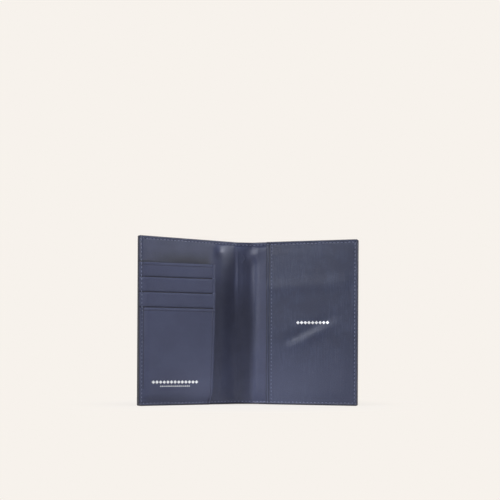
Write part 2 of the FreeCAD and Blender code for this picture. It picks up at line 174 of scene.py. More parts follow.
# ---------------- making pieces


class Build:
    """Vertices in flat millimetres, faces, and what the materials read at each vertex."""

    def __init__(self):
        self.points, self.faces, self.level = [], [], []
        self.edge, self.crease = [], []
        self.count = 0

    def add(self, points, faces, edge=None, crease=None, level=False):
        """Adds one closed shell; edge is the distance to its finished edge, in millimetres."""
        size = len(points)
        self.points.append(np.asarray(points, float))
        self.faces.extend([tuple(i + self.count for i in face) for face in faces])
        self.level.extend([level] * len(faces))
        self.edge.append(np.full(size, EDGE) if edge is None else edge)
        self.crease.append(np.zeros(size) if crease is None else crease)
        self.count += size


def add_object(name, data):
    item = bpy.data.objects.new(name, data)
    bpy.context.scene.collection.objects.link(item)
    return item


def make_piece(name, build, slot, on_flap=False):
    """A Blender object from a build, bent into the rest pose."""
    flat = np.concatenate(build.points)
    mesh = bpy.data.meshes.new(name)
    mesh.from_pydata((to_rest(flat, on_flap) * MM).tolist(), [], build.faces)
    mesh.polygons.foreach_set("use_smooth", [not level for level in build.level])
    mesh.attributes.new("flat", "FLOAT_VECTOR", "POINT")
    mesh.attributes["flat"].data.foreach_set("vector", flat.astype(np.float32).ravel())
    for key, values in (("edge", build.edge), ("crease", build.crease)):
        mesh.attributes.new(key, "FLOAT", "POINT")
        values = np.concatenate(values).astype(np.float32)
        mesh.attributes[key].data.foreach_set("value", values)
    mesh.update()
    piece = add_object(name, mesh)
    mesh.materials.append(MATERIALS[slot])
    return piece


RIM_STEPS = (0.0, 0.04, 0.12, 0.24, 0.42, 0.75)  # grid lines in from a finished rim
JOIN_STEPS = (0.02,)  # and in from an end that joins another half
FOOT_SHADE_HEIGHT = 1.5  # a painted foot gets painted shade up to about this height
# the painted shade at the foot fades out over this height
FOOT_SHADE_FADE = 0.7


def lines(start, end, spacing, finer=(), rims=(True, True)):
    """Grid lines from start to end, closer at finished rims and about the finer places.

    An end that joins another half has one line very near it, so that no shading shows the join.
    """
    found = list(np.linspace(start, end, max(2, round((end - start) / spacing) + 1)))
    kept = [start, end]
    for here, sign, rim in ((start, 1, rims[0]), (end, -1, rims[1])):
        kept.extend(here + sign * step for step in (RIM_STEPS if rim else JOIN_STEPS))
    for place, reach, step in finer:
        kept.extend(np.arange(place - reach, place + reach + step / 2, step))
    near = np.array([p for p in kept if start <= p <= end])
    kept = [*near, *(p for p in found if np.abs(near - p).min() > 0.3 * spacing)]
    return np.unique(np.round(kept, 4))


class Outline:
    """A rectangle in the flat holder, its finished sides and which of them are painted.

    Its outer corners are round if it has any; an unpainted finished side is a turned one.
    """

    def __init__(self, x, z, finished="lrbt", corners=0.0, painted=None):
        self.x, self.z, self.finished, self.corners = x, z, finished, corners
        self.painted = finished if painted is None else painted

    def trim(self, x, z):
        """Draws the columns in beside the rounded corners at the holder's outer edges."""
        if not self.corners:
            return x
        r = self.corners
        deep = np.clip(np.maximum(r - z, z - (HEIGHT - r)), 0, r)
        edge = EDGE - r + np.sqrt(r * r - deep * deep)
        inner = EDGE - 2 * r
        past = np.clip(np.abs(x) - inner, 0, None)
        drawn = np.minimum(np.abs(x), inner) + past * (edge - inner) / (EDGE - inner)
        return np.sign(x) * drawn

    def gap(self, x, z, sides):
        """Distance in from the nearest of some sides, along the uncut grid."""
        away = {"l": x - self.x[0], "r": self.x[1] - x, "b": z - self.z[0], "t": self.z[1] - z}
        return np.min([away[side] for side in sides] + [np.full_like(x, EDGE)], axis=0)


def add_slab(build, outline, xs, zs, front, back, rounding=0.25, crease=None):
    """A thin closed sheet: front(x, z) and back(x, z) give the y of its two faces."""
    x, z = [g.ravel() for g in np.meshgrid(xs, zs, indexing="ij")]
    gap = outline.gap(x, z, outline.finished)
    painted = outline.gap(x, z, outline.painted)
    x = outline.trim(x, z)
    round_off = rounding * (1 - np.sqrt(1 - np.clip(1 - gap / rounding, 0, 1) ** 2))
    near, far = front(x, z) + round_off, back(x, z) - round_off
    far = np.maximum(far, near + 0.02)
    faces = np.concatenate([np.stack([x, near, z], 1), np.stack([x, far, z], 1)])
    # these marks become the crease attribute, which the leather shows as darkening, mostly painted
    # shade
    marks = np.zeros(len(x)) if crease is None else crease(x, z)
    # painted shade: a sheet with a painted foot is darkened along its foot, where it stands on the
    # floor
    if "b" in outline.painted:
        marks = np.maximum(marks, smooth((FOOT_SHADE_HEIGHT - z + outline.z[0]) / FOOT_SHADE_FADE))
    nx, nz, size = len(xs), len(zs), len(x)
    number = np.arange(size).reshape(nx, nz)
    a, b = number[:-1, :-1].ravel(), number[1:, :-1].ravel()
    c, d = number[1:, 1:].ravel(), number[:-1, 1:].ravel()
    quads = np.stack([a, b, c, d], 1).tolist() + (np.stack([d, c, b, a], 1) + size).tolist()
    sides = {
        "l": number[0, :],
        "r": number[-1, ::-1],
        "t": number[:, -1],
        "b": number[::-1, 0],
    }
    rims = []
    for side, ring in sides.items():
        pairs = zip(ring[:-1], ring[1:])
        rims.append([(int(p), int(q), int(q) + size, int(p) + size) for p, q in pairs])
    edge = np.concatenate([painted, painted])
    start = build.count
    build.add(faces, quads, edge, np.concatenate([marks, np.zeros(size)]))
    for side, rim in zip(sides, rims):
        level = side not in outline.finished
        build.faces.extend([tuple(i + start for i in face) for face in rim])
        build.level.extend([level] * len(rim))


def groove(distance, depth, reach):
    """A rounded groove or, with a negative depth, a ridge, at a distance from its middle."""
    return depth * np.exp(-((distance / reach) ** 2))


def one_sided(x, middle, left, right):
    """A rounded ridge whose two sides fall away at their own widths."""
    away = x - middle
    return np.exp(-((away / np.where(away < 0, left, right)) ** 2))


def level_face(y):
    return lambda x, z: np.full_like(x, y)


# ---------------- materials


def rgb(red, green, blue):
    """A colour as it looks on screen, 0 to 255, as the numbers that a shader takes."""
    shares = [c / 255 for c in (red, green, blue)]
    linear = [c / 12.92 if c <= 0.04045 else ((c + 0.055) / 1.055) ** 2.4 for c in shares]
    return (*linear, 1.0)


class Nodes:
    """A material's node tree, with short ways of adding to it."""

    def __init__(self, name):
        self.material = bpy.data.materials.new(name)
        self.material.use_nodes = True
        self.tree = self.material.node_tree
        self.shader = self.tree.nodes["Principled BSDF"]
        self.flat = self.read("flat", "Vector")

    def add(self, kind, inputs=(), **settings):
        node = self.tree.nodes.new(kind)
        for key, value in settings.items():
            setattr(node, key, value)
        for key, value in dict(inputs).items():
            if isinstance(value, bpy.types.NodeSocket):
                self.tree.links.new(value, node.inputs[key])
            else:
                node.inputs[key].default_value = value
        return node

    def read(self, name, output="Fac"):
        return self.add("ShaderNodeAttribute", attribute_name=name).outputs[output]

    def math(self, operation, a, b, c=0.0):
        return self.add("ShaderNodeMath", {0: a, 1: b, 2: c}, operation=operation).outputs[0]

    def scaled(self, x, y, z):
        return self.add("ShaderNodeMapping", {"Vector": self.flat, "Scale": (x, y, z)}).outputs[0]

    def noise(self, vector, scale, detail=3.0, roughness=0.55):
        inputs = {"Vector": vector, "Scale": scale, "Detail": detail, "Roughness": roughness}
        return self.add("ShaderNodeTexNoise", inputs).outputs["Fac"]

    def waves(self, scale, direction, distortion=0.0):
        inputs = {"Vector": self.flat, "Scale": scale, "Distortion": distortion}
        return self.add("ShaderNodeTexWave", inputs, bands_direction=direction).outputs["Fac"]

    def pebbles(self, scale):
        """Rounded cells, as leather grain has them: low in the creases between."""
        inputs = {"Vector": self.flat, "Scale": scale}
        return self.add("ShaderNodeTexVoronoi", inputs, feature="DISTANCE_TO_EDGE").outputs[0]

    def ramp(self, value, low, high, to_low=0.0, to_high=1.0):
        inputs = {0: value, 1: low, 2: high, 3: to_low, 4: to_high}
        return self.add("ShaderNodeMapRange", inputs, interpolation_type="SMOOTHSTEP").outputs[0]

    def mix(self, share, a, b, blend="MIX"):
        node = self.add("ShaderNodeMix", data_type="RGBA", blend_type=blend)
        for index, value in ((0, share), (6, a), (7, b)):
            if isinstance(value, bpy.types.NodeSocket):
                self.tree.links.new(value, node.inputs[index])
            else:
                node.inputs[index].default_value = value
        return node.outputs[2]

    def bump(self, height, distance, strength=1.0, after=None):
        inputs = {"Height": height, "Distance": distance, "Strength": strength}
        if after is not None:
            inputs["Normal"] = after
        return self.add("ShaderNodeBump", inputs).outputs[0]

    def finish(self, **inputs):
        for key, value in inputs.items():
            socket = self.shader.inputs[key.replace("_", " ")]
            if isinstance(value, bpy.types.NodeSocket):
                self.tree.links.new(value, socket)
            else:
                socket.default_value = value
        return self.material


# dark edge paint, whose colour also serves for painted shade
EDGE_PAINT_AND_SHADE = rgb(24, 25, 38)
WORN_PAINT = rgb(58, 56, 63)
BRUSHED = rgb(72, 79, 106)
THREAD_SHADE, THREAD_COLOUR, THREAD_WORN = rgb(88, 95, 123), rgb(135, 142, 174), rgb(110, 116, 147)


def make_leather(name, colour, shade, streaks=0.0, gloss=0.42, grain=0.00003, paler_foot=None,
                 paint=(WORN_PAINT, 0.14)):
    """Dyed leather: mottled colour, fine grain, upright brush streaks, painted cut edges."""
    n = Nodes(name)
    slow = n.noise(n.flat, 0.055, 4.0, 0.6)
    fine = n.noise(n.flat, 1.1, 5.0, 0.65)
    brushed = n.noise(n.scaled(1.0, 1.0, 0.07), 1.15, 4.0, 0.6)
    cells = n.pebbles(1.7)
    tint = n.mix(n.ramp(slow, 0.3, 0.7), shade, colour)
    tint = n.mix(n.ramp(fine, 0.35, 0.7, 0.0, 0.35), tint, shade)
    # painted light: the leather is painted paler towards its foot, for the brighter light on the
    # passport pocket's lower part
    if paler_foot:
        height = n.add("ShaderNodeSeparateXYZ", {"Vector": n.flat}).outputs["Z"]
        tint = n.mix(n.ramp(height, 18.0, 62.0, 1.0, 0.0), tint, paler_foot)
    if streaks:
        patches = n.ramp(slow, 0.4, 0.62, 0.0, streaks)
        streaked = n.ramp(brushed, 0.42, 0.62)
        tint = n.mix(n.math("MULTIPLY", streaked, patches), tint, BRUSHED)
    tint = n.mix(n.ramp(cells, 0.0, 0.09, 0.3, 0.0), tint, EDGE_PAINT_AND_SHADE)
    wobble = n.math("MULTIPLY_ADD", n.noise(n.flat, 0.9, 3.0), 0.25, 0.08)
    painted = n.ramp(n.math("SUBTRACT", n.read("edge"), wobble), -0.02, paint[1], 1.0, 0.0)
    tint = n.mix(painted, tint, paint[0])
    # painted shade: the crease attribute darkens the leather towards the dark edge paint's colour in
    # grooves, gaps, cast shadow and at the foot, and along the passport pocket's mouth
    tint = n.mix(n.math("MULTIPLY", n.read("crease"), 0.9), tint, EDGE_PAINT_AND_SHADE)
    rough = n.ramp(fine, 0.25, 0.75, gloss + 0.1, gloss - 0.04)
    normal = n.bump(n.ramp(cells, 0.0, 0.16), grain)
    normal = n.bump(fine, grain * 2.2, after=normal)
    if streaks:
        normal = n.bump(brushed, grain * 2.5, after=normal)
    return n.finish(Base_Color=tint, Roughness=rough, Normal=normal, Specular_IOR_Level=0.5)


def make_thread():
    """Waxed polyester thread: two plies that twist round each other, a little uneven."""
    n = Nodes("thread")
    plies = n.waves(1.5, "DIAGONAL", 0.6)
    uneven = n.noise(n.flat, 2.0, 3.0)
    tint = n.mix(n.ramp(plies, 0.2, 0.8), THREAD_SHADE, THREAD_COLOUR)
    tint = n.mix(n.ramp(uneven, 0.3, 0.7, 0.0, 0.4), tint, THREAD_WORN)
    rough = n.ramp(uneven, 0.2, 0.8, 0.5, 0.7)
    normal = n.bump(plies, 0.00006)
    return n.finish(Base_Color=tint, Roughness=rough, Normal=normal, Sheen_Weight=0.25)


def make_foil():
    """Pale silver foil, stamped a little unevenly into the grain."""
    n = Nodes("foil")
    uneven = n.noise(n.flat, 1.6, 4.0)
    tint = n.mix(n.ramp(uneven, 0.35, 0.7), rgb(250, 249, 247), rgb(226, 228, 233))
    rough = n.ramp(uneven, 0.3, 0.75, 0.34, 0.5)
    normal = n.bump(uneven, 0.00002)
    return n.finish(Base_Color=tint, Roughness=rough, Normal=normal, Metallic=0.35)


def make_board(name, colour, shade):
    """Pressed fibre board, or woven spine tape: flecked, dull, with painted edges."""
    n = Nodes(name)
    flecks = n.noise(n.scaled(1.0, 1.0, 0.4), 2.4, 5.0, 0.7)
    tint = n.mix(n.ramp(flecks, 0.35, 0.7), colour, shade)
    painted = n.ramp(n.read("edge"), 0.3, 0.6, 1.0, 0.0)
    tint = n.mix(painted, tint, EDGE_PAINT_AND_SHADE)
    return n.finish(Base_Color=tint, Roughness=n.ramp(flecks, 0.2, 0.8, 0.75, 0.9),
                    Normal=n.bump(flecks, 0.00005))


def make_cloth():
    """Thin plain-woven pocket cloth."""
    n = Nodes("cloth")
    weave = n.math("MAXIMUM", n.waves(0.8, "X"), n.waves(0.8, "Z"))
    tint = n.mix(weave, rgb(28, 30, 44), rgb(52, 55, 74))
    return n.finish(Base_Color=tint, Roughness=n.ramp(weave, 0.0, 1.0, 0.9, 0.75),
                    Normal=n.bump(weave, 0.00008), Sheen_Weight=0.3)


MATERIALS = {
    "outer_leather": make_leather("outer_leather", rgb(60, 65, 90), rgb(50, 54, 77), grain=0.00005),
    "lining_leather": make_leather("lining_leather", rgb(64, 69, 96), rgb(56, 60, 85), gloss=0.38),
    # the passport pocket's leather has painted light: paler towards its foot
    "pocket_leather": make_leather("pocket_leather", rgb(45, 52, 78), rgb(39, 45, 70), streaks=0.3,
                                   paler_foot=rgb(58, 63, 88)),
    "card_leather": make_leather("card_leather", rgb(69, 74, 101), rgb(64, 68, 94), gloss=0.5,
                                 paint=(EDGE_PAINT_AND_SHADE, 0.3)),
    "stiffener_board": make_board("stiffener_board", rgb(120, 108, 94), rgb(84, 76, 68)),
    "spine_tape": make_board("spine_tape", rgb(64, 66, 80), rgb(44, 46, 58)),
    "slot_cloth": make_cloth(),
    "seam_thread": make_thread(),
    "foil": make_foil(),
}


# ---------------- shapes of the sheets

SEAM_STRIP = 3.0
LINING_RIDGES = (
    # middle, height, widths of its left and right sides at the top, and in the lower half
    (-22.0, 0.9, (5.0, 7.0), (5.0, 7.0)),
    (-6.2, 1.7, (1.9, 9.0), (3.2, 4.6)),
    (13.6, 2.0, (4.6, 16.0), (8.6, 16.0)),
)
PUCKERS = (
    # middle across and up, height, reach to its left, to its right, and up
    (-25.6, 130.0, 1.3, 2.2, 3.9, 4.2),
    (6.5, 129.2, 1.9, 4.2, 5.5, 6.0),
)
RIDGE_START = 6.5  # the ridges grow over this height beside a pressed strip
PUCKER_START = 4.0
LOWER_HALF = (52.0, 28.0)  # height at which the ridges have their lower widths, and its reach
WRINKLE = (-2.6, 126.0, 2.4)  # a curled wrinkle: middle across and up, and its radius
LINING_SHADOW_REACH = 11.0  # the painted shadow on the lining fades out over about this height
# how dark the painted shadow on the lining gets
LINING_SHADOW_STRENGTH = 0.85


def near_seams(z, reach):
    """0 on the pressed strips along the top and bottom seams, 1 between them."""
    top = np.clip((HEIGHT - SEAM_STRIP - z) / reach, 0, 1)
    foot = np.clip((z - SEAM_STRIP) / (1.6 * reach), 0, 1)
    return (1 - (1 - top) ** 3) * (1 - (1 - foot) ** 2)


def room_below(x, z):
    """How far the lining can rise before it meets the passport pocket's back."""
    return np.where(x > POCKET_MOUTH, FACE - pocket_back(x, z) - 0.03, EDGE)


def lining_rise(x, z):
    """How far the slack lining stands off its backing, about the spine."""
    wander = 0.5 * np.sin(z / 17.0) + 0.35 * np.sin(z / 7.3 + 1.0)
    fade = 0.7 + 0.3 * smooth((z - 30) / 80)
    lower = groove(z - LOWER_HALF[0], 1.0, LOWER_HALF[1])
    rise = np.zeros_like(x)
    for middle, height, (left, right), (low_left, low_right) in LINING_RIDGES:
        left, right = left + (low_left - left) * lower, right + (low_right - right) * lower
        rise = rise + height * one_sided(x + wander, middle, left, right)
    rise = rise * fade * near_seams(z, RIDGE_START)
    for middle, up, height, left, right, reach in PUCKERS:
        pucker = height * one_sided(x, middle, left, right) * groove(z - up, 1.0, reach)
        rise = rise + pucker * near_seams(z, PUCKER_START)
    rise = np.minimum(rise, room_below(x, z))
    wrinkle_x, wrinkle_z, radius = WRINKLE
    away = np.hypot(x - wrinkle_x, (z - wrinkle_z) * 0.8)
    curl = groove(away - radius, 0.28, 0.55) * smooth((x - wrinkle_x + 0.8) / 1.5)
    pulled = groove(z - (HEIGHT - SEAM_STRIP), 0.4, 0.4) * smooth((30 - np.abs(x + 4)) / 8)
    return rise + curl - pulled + seam_dip(x, z)


def seam_dip(x, z):
    """The shallow channel that a seam pulls into the leather, and the low roll outside it."""
    gaps = (z, HEIGHT - z, EDGE - np.abs(x))
    channel = sum(groove(gap - SEAM_IN, 0.14, 0.55) for gap in gaps)
    roll = sum(groove(gap - 1.0, 0.1, 0.55) for gap in gaps)
    return roll - channel


def lining_front(x, z):
    return FACE - lining_rise(x, z)


def rubbed_lining(x, z):
    """Painted shadow that the card panel's lifted top casts on the lining, darkest at its free side.
    """
    above = z - MOUTHS[0] - 0.4
    across = np.clip((x + EDGE) / (PANEL_EDGE + EDGE), 0, 1)
    beside = smooth((PANEL_EDGE + 4 - x) / 8)
    line = groove(np.minimum(above, 0) + np.maximum(above - 0.6 * across, 0), 0.9, 0.8)
    fading = LINING_SHADOW_STRENGTH * smooth(across * 1.8) * np.clip(1.15 - above / LINING_SHADOW_REACH, 0, 1)
    return np.maximum(line, fading) * beside


def lining_back(x, z):
    return lining_front(x, z) + LINING


def outer_back(x, z):
    """The outside of the holder: a faint line along each fold and a channel at the seams."""
    folds = groove(np.abs(x) - abs(LEFT_FOLD[0]) - 1.5, 0.12, 0.7)
    return OUTSIDE + seam_dip(x, z) - folds


POCKET_CREASE = 2.7  # from the passport pocket's mouth to the crease pressed beside it
POCKET_FOLD = (38.0, 49.0)  # where its oblique fold starts, across and up
POCKET_FOLD_RUN = (0.89, 0.45)  # the way that fold runs
POCKET_FOLD_WIDTH = 5.2
POCKET_FOLD_HEIGHT = 1.3


def inside_seams(x, z, margin, reach):
    """0 on the passport pocket's sewn border, 1 inside it."""
    across = smooth((EDGE - margin - x) / reach)
    return across * smooth((z - margin) / reach) * smooth((HEIGHT - margin - z) / reach)


def oblique_fold(x, z):
    """The fold across the passport pocket's leather: a hollow above it and a ridge below."""
    x, z = x - POCKET_FOLD[0], z - POCKET_FOLD[1]
    along = x * POCKET_FOLD_RUN[0] + z * POCKET_FOLD_RUN[1]
    across = z * POCKET_FOLD_RUN[0] - x * POCKET_FOLD_RUN[1]
    step = (across - 2.0) / POCKET_FOLD_WIDTH
    ends = smooth((along + 4) / 14) * smooth((60 - along) / 32)
    return -POCKET_FOLD_HEIGHT * step * np.exp(-step ** 2) * ends


def pocket_rise(x, z):
    """How far the passport pocket's face stands off the lining."""
    slack = smooth((60 - x) / 45) * np.sin(np.pi * z / HEIGHT)
    wave = 0.5 * groove(z - 99 - 0.05 * x, 1.0, 6.0) - 0.15 * groove(z - 84 + 0.1 * x, 1.0, 9.0)
    ripple = 0.05 * np.sin(x / 3.1 + 0.06 * z) * np.sin(z / 23.0 + x / 31.0)
    free = 0.25 + 0.4 * slack + oblique_fold(x, z) + wave + ripple
    rise = POCKET_RISE + inside_seams(x, z, 4.0, 7.0) * free
    crease = groove(x - (POCKET_MOUTH + POCKET_CREASE), 0.26, 0.4)
    channel = groove(x - HEM_SEAM, 0.12, 0.5)
    return rise - crease - channel + seam_dip(x, z)


def pocket_front(x, z):
    return FACE - pocket_rise(x, z)


def pocket_back(x, z):
    """Pressed on to the lining at the seams, a separate leather between them."""
    inside = inside_seams(x, z, 3.2, 1.5)
    return (FACE - 0.02) * (1 - inside) + (pocket_front(x, z) + 0.9) * inside


def pressed_share(x, z):
    """0 where the card panel is sewn flat to the cover, 1 where its leathers lie free."""
    return smooth((x + EDGE - 1.4) / 6.5) * smooth((z - 1.6) / 7.5)


def panel_layer(level, rise):
    """The face of one leather of the card panel: its pressed rise grows to its own rise."""
    pressed = 0.5 * (level + 1)

    def front(x, z):
        share = pressed_share(x, z)
        body = pressed + (rise - pressed) * share
        return FACE - body - seam_dip(x, z)
    return front


def behind(front, thickness, pressed=0.45):
    """The back of a leather that is skived thin where it is sewn."""
    return lambda x, z: front(x, z) + pressed + (thickness - pressed) * pressed_share(x, z)


LIP = (0.5, 0.85)
CREASE_BELOW = 2.8


def mouth_lines(front, mouth, next_mouth=None, creased=True):
    """A leather's face: a rounded lip at its mouth, perhaps a crease line pressed below it.

    It is pulled in a little behind the mouth of the leather in front of it.
    """
    def face(x, z):
        y = front(x, z) + groove(mouth - z, *LIP)
        if creased:
            y = y + groove(mouth - z - CREASE_BELOW, 0.16, 0.35)
        if next_mouth:
            y = y + groove(z - next_mouth - 0.2, 0.35, 0.6)
        return y
    return face


def mouth_crease(mouth, next_mouth=None, creased=True):
    """Painted shade: dark in the crease line, and in the gap against the next mouth."""
    def marks(x, z):
        dark = groove(mouth - z - CREASE_BELOW, 0.5, 0.35) if creased else np.zeros_like(z)
        if next_mouth:
            dark = np.maximum(dark, groove(z - next_mouth - 0.1, 1.0, 0.5))
        return dark
    return marks


# ---------------- the sheets


SHEET_SPACING = 1.6


def blend_cover(piece):
    """Bakes the placement of half of a sheet or seam into its mesh."""
    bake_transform(piece)


def halves(name, material, front, back, finer_x, finer_z, nodes, rounding=0.25, crease=None):
    """A sheet from cover to cover, in two halves that meet on the middle of the spine."""
    for side, word in SIDES:
        ends = (-EDGE, 0.0) if side == LEFT else (0.0, EDGE)
        outline = Outline(ends, (0.0, HEIGHT), "lbt" if side == LEFT else "rbt", CORNER)
        xs = lines(*ends, SHEET_SPACING, finer_x, (side == LEFT, side == RIGHT))
        zs = lines(0.0, HEIGHT, SHEET_SPACING, finer_z)
        build = Build()
        add_slab(build, outline, xs, zs, front, back, rounding, crease)
        piece = make_piece(f"{name}_{word}", build, material)
        blend_cover(piece)
        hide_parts(*[node.format(word) for node in nodes])


SEAM_FINER = ((SEAM_IN, 1.2, 0.3), (HEIGHT - SEAM_IN, 1.2, 0.3))
SIDE_FINER = ((-EDGE + SEAM_IN, 1.2, 0.3), (EDGE - SEAM_IN, 1.2, 0.3))


def make_covers():
    """The outer leather and the lining, each one sheet from edge to edge."""
    folds = tuple((x, 2.5, 0.4) for x in (LEFT_FOLD[0] - 1.5, RIGHT_FOLD[0] + 1.5))
    halves("outer_leather", "outer_leather", level_face(BOARD_BACK + 0.02), outer_back,
           SIDE_FINER + folds, SEAM_FINER, ("spine_outer_leather", "{}_outer_leather"))
    waves = SIDE_FINER + ((-1.0, 26.0, 0.5),)
    heights = SEAM_FINER + ((HEIGHT - 6.0, 5.0, 0.35), (WRINKLE[1], 5.0, 0.5), (6.0, 4.0, 0.5),
                            (MOUTHS[0] + 1.0, 2.2, 0.3))
    # the lining gets painted shadow above the card panel's top
    halves("lining", "lining_leather", lining_front, lining_back, waves, heights,
           ("spine_lining", "{}_lining"), rounding=0.2, crease=rubbed_lining)


BOARD_IN = 0.1  # the boards stop this far inside the leathers' edges
TAPE_IN = (3.2, 0.15)  # the spine tape is this much narrower and shorter on each side
BOARD_ROUNDING = 0.12


def make_boards():
    """The stiff board in each cover."""
    ends_up = (BOARD_IN, HEIGHT - BOARD_IN)
    for side, word in SIDES:
        low, high = flat_box(f"{word}_stiffener")
        beside_fold = high[0] if side == LEFT else low[0]
        ends = sorted((side * (EDGE - BOARD_IN), side * abs(beside_fold)))
        build = Build()
        add_slab(build, Outline(ends, ends_up, "lrbt", CORNER), lines(*ends, 6.0),
                 lines(*ends_up, 6.0, SEAM_FINER), level_face(LINING_BACK + 0.02),
                 level_face(BOARD_BACK), BOARD_ROUNDING)
        piece = make_piece(f"board_{word}", build, "stiffener_board")
        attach(piece, f"{word}_cover")
        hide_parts(f"{word}_stiffener")


def make_spine_tape():
    """The tape that reinforces the spine."""
    low, high = flat_box("spine_reinforcement")
    ends = (low[0] + TAPE_IN[0], high[0] - TAPE_IN[0])
    ends_up = (TAPE_IN[1], HEIGHT - TAPE_IN[1])
    build = Build()
    add_slab(build, Outline(ends, ends_up), lines(*ends, 1.0), lines(*ends_up, 5.0),
             level_face(LINING_BACK + 0.05), level_face(BOARD_BACK - 0.05), BOARD_ROUNDING)
    piece = make_piece("spine_tape", build, "spine_tape")
    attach(piece, "spine")
    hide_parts("spine_reinforcement")


def lift_with_pocket(piece, seam, *nodes):
    """Bakes the placement of half of the passport pocket into its mesh and hides the frame's nodes
    that it replaces; seam is not used.
    """
    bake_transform(piece)
    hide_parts(*nodes)


POCKET_SPACING = 1.3
HEM_DEPTHS = (0.92, 1.4)  # from the pocket's face to the hem's two faces
HEM_IN = 0.25  # the hem starts this far inside the mouth


def pocket_marks(x, z):
    """Darkens the passport pocket: a dark line along its mouth, and painted shade in the crease
    beside it.
    """
    return groove(x - POCKET_MOUTH, 1.0, 0.65) + groove(x - POCKET_MOUTH - POCKET_CREASE, 1.0, 0.36)


def make_pocket_half(word, edge, side, seam):
    """Half of the passport pocket's leather, from an edge to the middle."""
    middle = HEIGHT / 2
    ends = sorted((edge, middle))
    outline = Outline((POCKET_MOUTH, EDGE), ends, "lr" + side, CORNER)
    finer_x = ((POCKET_MOUTH + POCKET_CREASE, 1.2, 0.3), (HEM_SEAM, 1.0, 0.3))
    finer_z = SEAM_FINER + ((middle, 1.0, 0.5),)
    xs = lines(POCKET_MOUTH, EDGE, POCKET_SPACING, SIDE_FINER + finer_x)
    zs = lines(*ends, POCKET_SPACING, finer_z, (side == "b", side == "t"))
    build = Build()
    # the passport pocket is darkened along its mouth, with painted shade in its crease
    add_slab(build, outline, xs, zs, pocket_front, pocket_back, 0.35, pocket_marks)
    piece = make_piece(f"passport_pocket_{word}", build, "pocket_leather")
    lift_with_pocket(piece, seam, "passport_pocket_sewn_border", "passport_pocket_panel")


def make_hem_half(word, seam):
    """Half of the hem turned in behind the passport pocket's mouth."""
    low, high = flat_box("passport_pocket_hem")
    across = (low[0] + HEM_IN, high[0])
    ends = sorted((seam, HEIGHT / 2))
    near, far = HEM_DEPTHS
    build = Build()
    add_slab(build, Outline(across, ends, "lr"), lines(*across, 1.0),
             lines(*ends, 1.5, (), (False, False)), lambda x, z: pocket_front(x, z) + near,
             lambda x, z: pocket_front(x, z) + far, 0.2)
    piece = make_piece(f"pocket_hem_{word}", build, "pocket_leather")
    lift_with_pocket(piece, seam, "passport_pocket_hem")


def make_passport_pocket():
    """The passport pocket's leather and its hem, each in a lower and an upper half."""
    for word, edge, side in (("lower", 0.0, "b"), ("upper", HEIGHT, "t")):
        seam = abs(edge - POCKET_SEAM)
        make_pocket_half(word, edge, side, seam)
        make_hem_half(word, seam)


def lift_with_flap(piece, *nodes):
    """Bakes the placement of a piece of the card panel into its mesh and hides the frame's nodes that
    it replaces.
    """
    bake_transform(piece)
    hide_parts(*nodes)
    return piece


def card_piece(name, outline, finer_x, finer_z, front, back, nodes, rounding=0.25, crease=None):
    """One leather of the card panel."""
    build = Build()
    xs = lines(*outline.x, SHEET_SPACING, finer_x)
    zs = lines(*outline.z, SHEET_SPACING, finer_z)
    add_slab(build, outline, xs, zs, front, back, rounding, crease)
    piece = make_piece(name, build, "card_leather", on_flap=True)
    return lift_with_flap(piece, *nodes)


def make_slots():
    """The three slot bands, each with the cloth that hangs from it."""
    for level, slot in enumerate(SLOTS):
        low, high = flat_box(f"{slot}_leather")
        front = panel_layer(level, BAND_RISE[level])
        next_mouth = (*MOUTHS, POCKET_TOP)[level + 1]
        lines_here = (MOUTHS[level], next_mouth, level == 0)
        face = mouth_lines(front, *lines_here)
        outline = Outline((-EDGE, BORDER_START - 0.02), (low[2], high[2]), "ltb")
        finer = ((MOUTHS[level] - 1.6, 1.6, 0.16), (next_mouth, 1.2, 0.16))
        # each band gets painted shade in its crease line and against the next mouth
        card_piece(f"{slot}_band", outline, SIDE_FINER, finer, face,
                   behind(face, 0.6), [f"{slot}_leather"], crease=mouth_crease(*lines_here))
        make_slot_cloth(slot)


def make_slot_cloth(slot):
    """The thin cloth behind a band, which is the slot's back and its end."""
    low, high = flat_box(f"{slot}_cloth")
    xs = lines(low[0], high[0], 3.0)
    zs = lines(low[2], high[2], 3.0)
    build = Build()
    add_slab(build, Outline((low[0], high[0]), (low[2], high[2])), xs, zs,
             level_face(low[1] + 0.02), level_face(high[1] - 0.02), 0.05)
    piece = make_piece(f"{slot}_pocket_cloth", build, "slot_cloth", on_flap=True)
    lift_with_flap(piece, f"{slot}_cloth")


BORDER_UNDER_POCKET = 0.75  # the turned border lies this far behind the front pocket's face
BORDER_PROUD = 0.2  # and this far in front of each slot band's


def border_rise(z):
    """The turned border's face steps down past each slot's mouth."""
    levels = [FRONT_RISE - BORDER_UNDER_POCKET]
    levels.extend(band + BORDER_PROUD for band in reversed(BAND_RISE))
    rise = np.full_like(z, levels[0])
    for mouth, under, over in zip((POCKET_TOP, *reversed(MOUTHS[1:])), levels, levels[1:]):
        stepped = under + (over - under) * smooth((z - mouth + 0.2) / 1.2)
        rise = np.where(z > mouth - 0.2, stepped, rise)
    return rise


def soft_front(x, z):
    """The front card pocket's face, which undulates a little between its seams."""
    soft = 0.12 * np.sin(x / 19.0 + 1.0) * np.sin(z / 27.0)
    return panel_layer(len(SLOTS), FRONT_RISE)(x, z) + soft * pressed_share(x, z)


FOLD_LINE = BORDER_START + 0.05  # the groove where the front pocket meets the turned border


def front_pocket_face(x, z):
    """The front card pocket's face, with its lips and the line along the turned border."""
    fold = groove(x - FOLD_LINE, 0.22, 0.4)
    lip = groove(PANEL_EDGE - x, 0.5, 0.7)
    return mouth_lines(soft_front, POCKET_TOP)(x, z) + fold + lip


def front_pocket_marks(x, z):
    """Painted shade on the front card pocket: in the groove along the turned border and in the crease
    below its mouth.
    """
    return np.maximum(groove(x - FOLD_LINE, 0.5, 0.35), mouth_crease(POCKET_TOP)(x, z))


